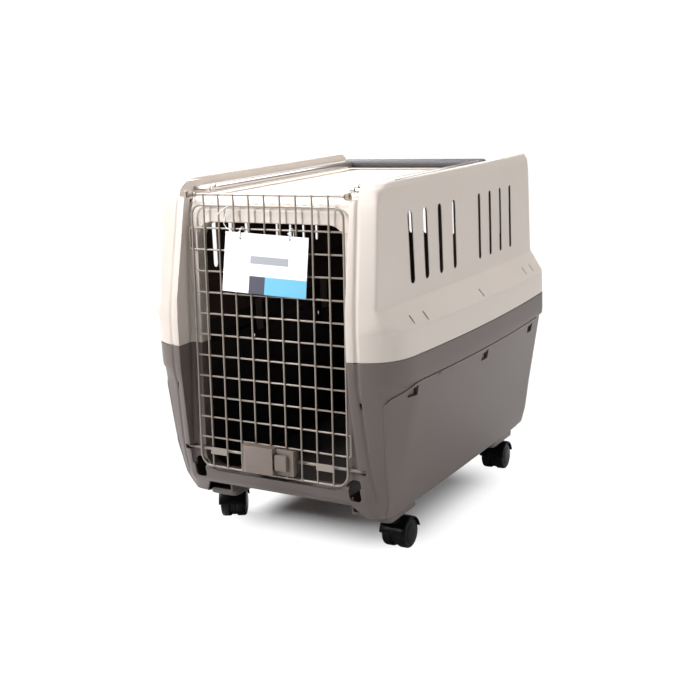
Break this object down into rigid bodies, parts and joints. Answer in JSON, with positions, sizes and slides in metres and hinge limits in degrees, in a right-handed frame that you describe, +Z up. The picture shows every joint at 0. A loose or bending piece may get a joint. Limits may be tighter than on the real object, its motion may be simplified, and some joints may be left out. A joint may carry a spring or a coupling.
{
  "type": "pet transport carrier",
  "caption": "Wheeled moulded pet carrier: two-part crate with side vents, top-hung wire door with sliding rod latch, fold-over roof handle and swivel casters.",
  "frame": {"origin": "on the floor, under the middle of the overall box", "axes": "+Z up; the door faces -Y; +X to the right for someone who faces the door"},
  "size_m": [0.4888, 0.6468, 0.601],
  "materials": {
    "cream_plastic": "fine-grained moulded polypropylene, satin",
    "taupe_plastic": "fine-grained moulded polypropylene, satin",
    "taupe_latch": "smooth moulded plastic, semi-gloss",
    "painted_wire": "powder-coated welded steel wire",
    "grey_grip": "soft matt plastic sleeve",
    "aluminium_tube": "satin tube",
    "black_plastic": "smooth moulded nylon, glossy",
    "steel": "bright zinc-plated steel",
    "card": "blank printed card, laminated"
  },
  "bodies": {
    "crate": {"upper_shell": "cream_plastic", "lower_shell": "taupe_plastic", "side_clip_left_front": "taupe_plastic", "side_clip_left_middle": "taupe_plastic", "side_clip_left_rear": "taupe_plastic", "side_clip_right_front": "taupe_plastic", "side_clip_right_middle": "taupe_plastic", "side_clip_right_rear": "taupe_plastic", "hinge_bush_left": "taupe_latch", "hinge_bush_right": "taupe_latch", "handle_pin_left": "steel", "handle_pin_right": "steel", "caster_fl_socket": "black_plastic", "caster_fr_socket": "black_plastic", "caster_rl_socket": "black_plastic", "caster_rr_socket": "black_plastic"},
    "door": {"hinge_rod": "painted_wire", "door_grille": "painted_wire", "latch_cover": "taupe_latch", "latch_back_plate": "taupe_latch", "latch_screw_left": "steel", "latch_screw_right": "steel", "latch_pinion_pin": "steel", "latch_spring": "steel", "rod_guide_left": "painted_wire", "rod_guide_right": "painted_wire", "hang_card": "card", "card_tie_left": "black_plastic", "card_tie_right": "black_plastic"},
    "latch_thumb": {"latch_slider": "taupe_latch", "latch_rod_right": "painted_wire"},
    "rod_left": {"latch_rod_left": "painted_wire"},
    "pinion": {"latch_pinion": "black_plastic"},
    "handle": {"handle_grip": "grey_grip", "handle_tube_left": "aluminium_tube", "handle_tube_right": "aluminium_tube", "handle_eye_left": "aluminium_tube", "handle_eye_right": "aluminium_tube"},
    "caster_fl": {"caster_fl_body": "black_plastic", "caster_fl_axle": "steel"},
    "caster_fl_wheel_left": {"caster_fl_wheel_left": "black_plastic"},
    "caster_fl_wheel_right": {"caster_fl_wheel_right": "black_plastic"},
    "caster_fr": {"caster_fr_body": "black_plastic", "caster_fr_axle": "steel"},
    "caster_fr_wheel_left": {"caster_fr_wheel_left": "black_plastic"},
    "caster_fr_wheel_right": {"caster_fr_wheel_right": "black_plastic"},
    "caster_rl": {"caster_rl_body": "black_plastic", "caster_rl_axle": "steel"},
    "caster_rl_wheel_left": {"caster_rl_wheel_left": "black_plastic"},
    "caster_rl_wheel_right": {"caster_rl_wheel_right": "black_plastic"},
    "caster_rr": {"caster_rr_body": "black_plastic", "caster_rr_axle": "steel"},
    "caster_rr_wheel_left": {"caster_rr_wheel_left": "black_plastic"},
    "caster_rr_wheel_right": {"caster_rr_wheel_right": "black_plastic"}
  },
  "joints": [
    {"name": "door_hinge", "type": "hinge", "parent": "crate", "child": "door", "pos_m": [0, -0.27893, 0.583], "axis": [-1, 0, 0], "range_deg": [0, 130]},
    {"name": "latch_slide", "type": "slide", "parent": "door", "child": "latch_thumb", "axis": [-1, 0, 0], "range_m": [0, 0.012], "deforming": ["latch_spring"]},
    {"name": "rod_left_slide", "type": "slide", "parent": "door", "child": "rod_left", "axis": [1, 0, 0], "range_m": [0, 0.012]},
    {"name": "pinion_spin", "type": "hinge", "parent": "door", "child": "pinion", "pos_m": [-0.0145, -0.29784, 0.16519], "axis": [0, 0.9983, -0.0579], "range_deg": [0, 115]},
    {"name": "handle_swing", "type": "hinge", "parent": "crate", "child": "handle", "pos_m": [0, -0.23663, 0.588], "axis": [1, 0, 0], "range_deg": [0, 130]},
    {"name": "caster_fl_swivel", "type": "hinge", "parent": "crate", "child": "caster_fl", "pos_m": [-0.163, -0.20163, 0.061], "axis": [0, 0, 1], "continuous": true},
    {"name": "caster_fl_roll_left", "type": "hinge", "parent": "caster_fl", "child": "caster_fl_wheel_left", "pos_m": [-0.17051, -0.1875, 0.025], "axis": [0.8829, 0.4695, 0], "continuous": true},
    {"name": "caster_fl_roll_right", "type": "hinge", "parent": "caster_fl", "child": "caster_fl_wheel_right", "pos_m": [-0.17051, -0.1875, 0.025], "axis": [0.8829, 0.4695, 0], "continuous": true},
    {"name": "caster_fr_swivel", "type": "hinge", "parent": "crate", "child": "caster_fr", "pos_m": [0.163, -0.20163, 0.061], "axis": [0, 0, 1], "continuous": true},
    {"name": "caster_fr_roll_left", "type": "hinge", "parent": "caster_fr", "child": "caster_fr_wheel_left", "pos_m": [0.163, -0.18563, 0.025], "axis": [1, 0, 0], "continuous": true},
    {"name": "caster_fr_roll_right", "type": "hinge", "parent": "caster_fr", "child": "caster_fr_wheel_right", "pos_m": [0.163, -0.18563, 0.025], "axis": [1, 0, 0], "continuous": true},
    {"name": "caster_rl_swivel", "type": "hinge", "parent": "crate", "child": "caster_rl", "pos_m": [-0.157, 0.21037, 0.061], "axis": [0, 0, 1], "continuous": true},
    {"name": "caster_rl_roll_left", "type": "hinge", "parent": "caster_rl", "child": "caster_rl_wheel_left", "pos_m": [-0.15049, 0.22499, 0.025], "axis": [0.9135, -0.4067, 0], "continuous": true},
    {"name": "caster_rl_roll_right", "type": "hinge", "parent": "caster_rl", "child": "caster_rl_wheel_right", "pos_m": [-0.15049, 0.22499, 0.025], "axis": [0.9135, -0.4067, 0], "continuous": true},
    {"name": "caster_rr_swivel", "type": "hinge", "parent": "crate", "child": "caster_rr", "pos_m": [0.157, 0.21037, 0.061], "axis": [0, 0, 1], "continuous": true},
    {"name": "caster_rr_roll_left", "type": "hinge", "parent": "caster_rr", "child": "caster_rr_wheel_left", "pos_m": [0.15588, 0.22633, 0.025], "axis": [0.9976, 0.0698, 0], "continuous": true},
    {"name": "caster_rr_roll_right", "type": "hinge", "parent": "caster_rr", "child": "caster_rr_wheel_right", "pos_m": [0.15588, 0.22633, 0.025], "axis": [0.9976, 0.0698, 0], "continuous": true}
  ],
  "couplings": [
    {"joint": "rod_left_slide", "follows": "latch_slide", "ratio": 1},
    {"joint": "pinion_spin", "follows": "latch_slide", "rad_per_m": 166.67}
  ]
}
